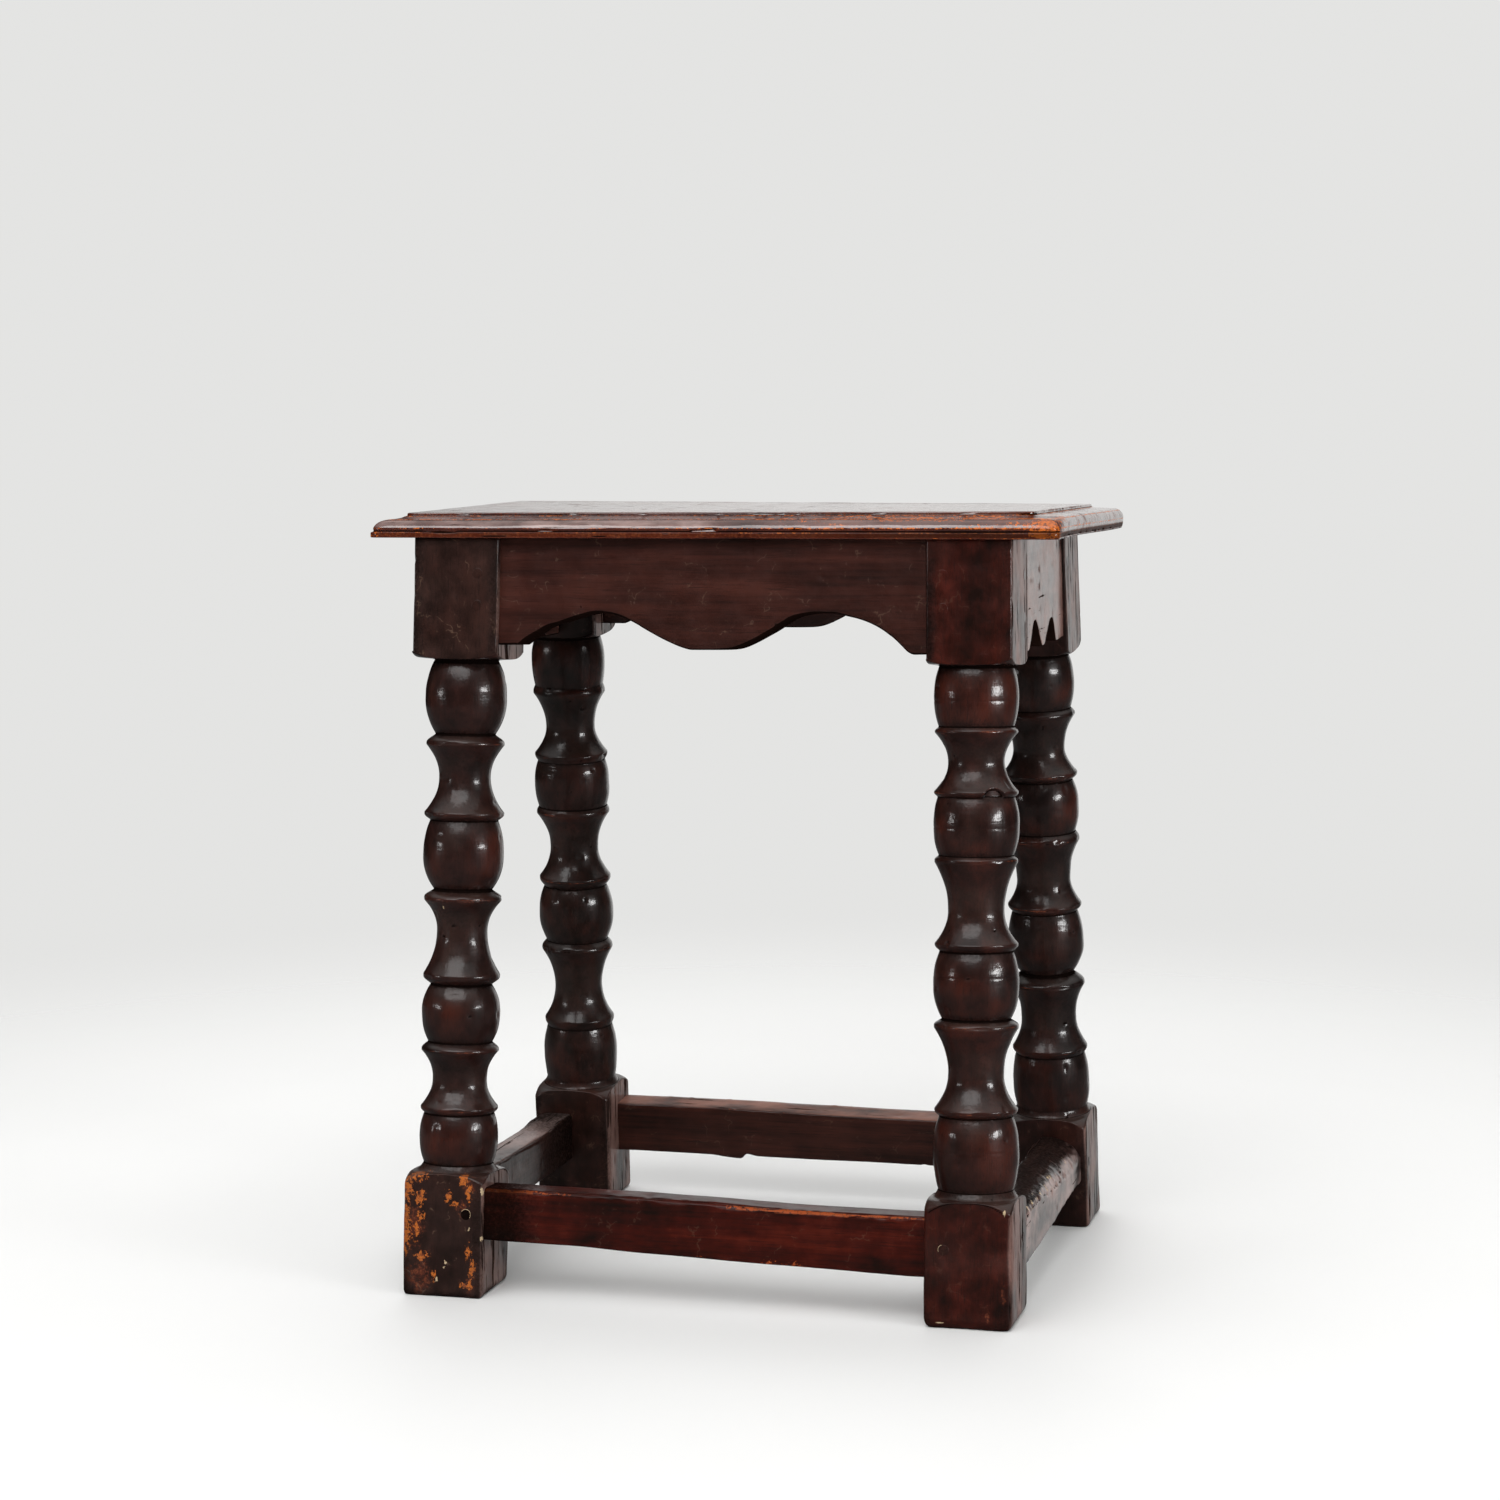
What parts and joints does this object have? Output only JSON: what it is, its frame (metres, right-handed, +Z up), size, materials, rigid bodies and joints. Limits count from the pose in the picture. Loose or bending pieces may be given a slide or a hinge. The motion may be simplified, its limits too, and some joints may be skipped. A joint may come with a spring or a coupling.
{
  "type": "joint stool",
  "caption": "Low oblong joint stool: moulded seat board on canted turned legs, scalloped aprons and low stretchers, pegged mortise and tenon",
  "frame": {"origin": "on the floor, under the middle of the stool", "axes": "+Z up; X along the long sides of the seat; +Y from the front to the back"},
  "size_m": [0.438, 0.319, 0.492],
  "materials": {
    "seat_wood": "worn dark red-brown varnish, waxed, with rubbed orange edges",
    "leg_wood": "near-black red-brown polish, glossy on the turnings, rubbed on the feet",
    "apron_wood": "dark brown satin polish with open grain",
    "stretcher_wood": "red-brown polish, scuffed along the edges",
    "peg_wood": "dark end grain, flush with the leg"
  },
  "bodies": {
    "root": {"apron_back": "apron_wood", "apron_front": "apron_wood", "apron_left": "apron_wood", "apron_right": "apron_wood", "leg_back_left": "leg_wood", "leg_back_right": "leg_wood", "leg_front_left": "leg_wood", "leg_front_right": "leg_wood", "peg_apron_back_back_left_lower": "peg_wood", "peg_apron_back_back_left_upper": "peg_wood", "peg_apron_back_back_right_lower": "peg_wood", "peg_apron_back_back_right_upper": "peg_wood", "peg_apron_front_front_left_lower": "peg_wood", "peg_apron_front_front_left_upper": "peg_wood", "peg_apron_front_front_right_lower": "peg_wood", "peg_apron_front_front_right_upper": "peg_wood", "peg_apron_left_back_left_lower": "peg_wood", "peg_apron_left_back_left_upper": "peg_wood", "peg_apron_left_front_left_lower": "peg_wood", "peg_apron_left_front_left_upper": "peg_wood", "peg_apron_right_back_right_lower": "peg_wood", "peg_apron_right_back_right_upper": "peg_wood", "peg_apron_right_front_right_lower": "peg_wood", "peg_apron_right_front_right_upper": "peg_wood", "peg_seat_back_left": "peg_wood", "peg_seat_back_right": "peg_wood", "peg_seat_front_left": "peg_wood", "peg_seat_front_right": "peg_wood", "peg_stretcher_back_back_left": "peg_wood", "peg_stretcher_back_back_right": "peg_wood", "peg_stretcher_front_front_left": "peg_wood", "peg_stretcher_front_front_right": "peg_wood", "peg_stretcher_left_back_left": "peg_wood", "peg_stretcher_left_front_left": "peg_wood", "peg_stretcher_right_back_right": "peg_wood", "peg_stretcher_right_front_right": "peg_wood", "seat_board": "seat_wood", "stretcher_back": "stretcher_wood", "stretcher_front": "stretcher_wood", "stretcher_left": "stretcher_wood", "stretcher_right": "stretcher_wood"}
  },
  "joints": []
}
